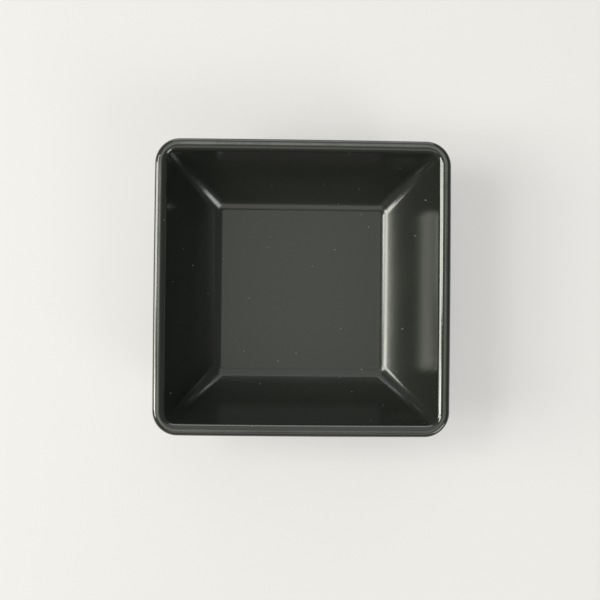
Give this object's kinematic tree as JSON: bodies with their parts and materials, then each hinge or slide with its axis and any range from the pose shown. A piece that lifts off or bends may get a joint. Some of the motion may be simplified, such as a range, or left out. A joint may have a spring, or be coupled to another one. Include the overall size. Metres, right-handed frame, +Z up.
{
  "type": "square sauce dish",
  "caption": "Small square black dipping dish with a flat floor, hollow sloping walls that meet in mitres, a rolled lip and a low square foot ring; glossy glazed eating side.",
  "frame": {"origin": "middle of the dish in plan, on the plane that the foot ring stands on", "axes": "+Z up out of the well, +X and +Y square to the sides"},
  "size_m": [0.09, 0.09, 0.0275],
  "materials": {
    "moulded_black": "compression-moulded black melamine, satin gloss outside, with fine rubbing marks on the foot ring",
    "glaze_black": "thin clear melamine glaze over the black body, so it shows black; smooth satin gloss with faint waviness and a few dust specks"
  },
  "bodies": {
    "root": {"dish_body": "moulded_black", "glaze_coat": "glaze_black"}
  },
  "joints": []
}
